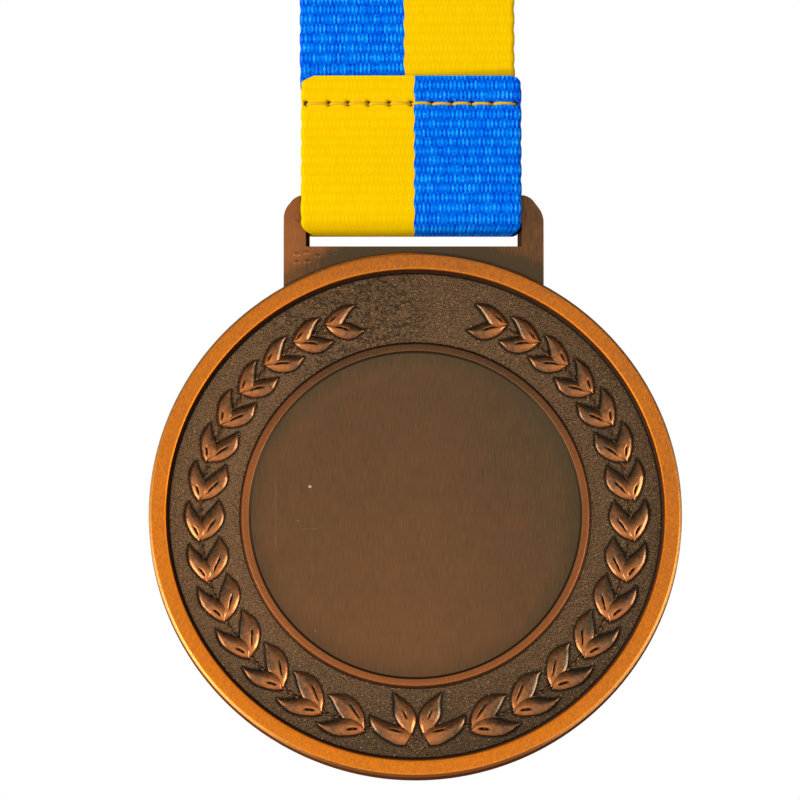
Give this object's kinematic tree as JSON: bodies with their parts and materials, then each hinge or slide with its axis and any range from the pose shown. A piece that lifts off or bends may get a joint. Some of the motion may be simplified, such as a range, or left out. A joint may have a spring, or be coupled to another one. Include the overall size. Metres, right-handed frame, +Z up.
{
  "type": "sports medal on a neck ribbon",
  "caption": "Round cast bronze-tone sports medal with a laurel wreath in relief and a plain centre, hanging by its slotted lug from a two-colour woven neck ribbon.",
  "frame": {"origin": "inside of the ribbon's top bend, where the loop rests on a neck or a round support", "axes": "+Z up, the medal faces -Y, the loop lies in the XZ plane and opens along Y"},
  "size_m": [0.1218, 0.0288, 0.4404],
  "materials": {
    "cast_bronze": "antique bronze plating, satin on the raised parts and dark in the field",
    "woven_ribbon": "ribbed woven polyester, one half blue and one half yellow"
  },
  "bodies": {
    "ribbon": {"ribbon": "woven_ribbon"},
    "medal": {"medal": "cast_bronze"}
  },
  "joints": [
    {"name": "medal_swing", "type": "hinge", "parent": "ribbon", "child": "medal", "pos_m": [0, 0, -0.3691], "axis": [1, 0, 0], "range_deg": [-30, 30]}
  ]
}
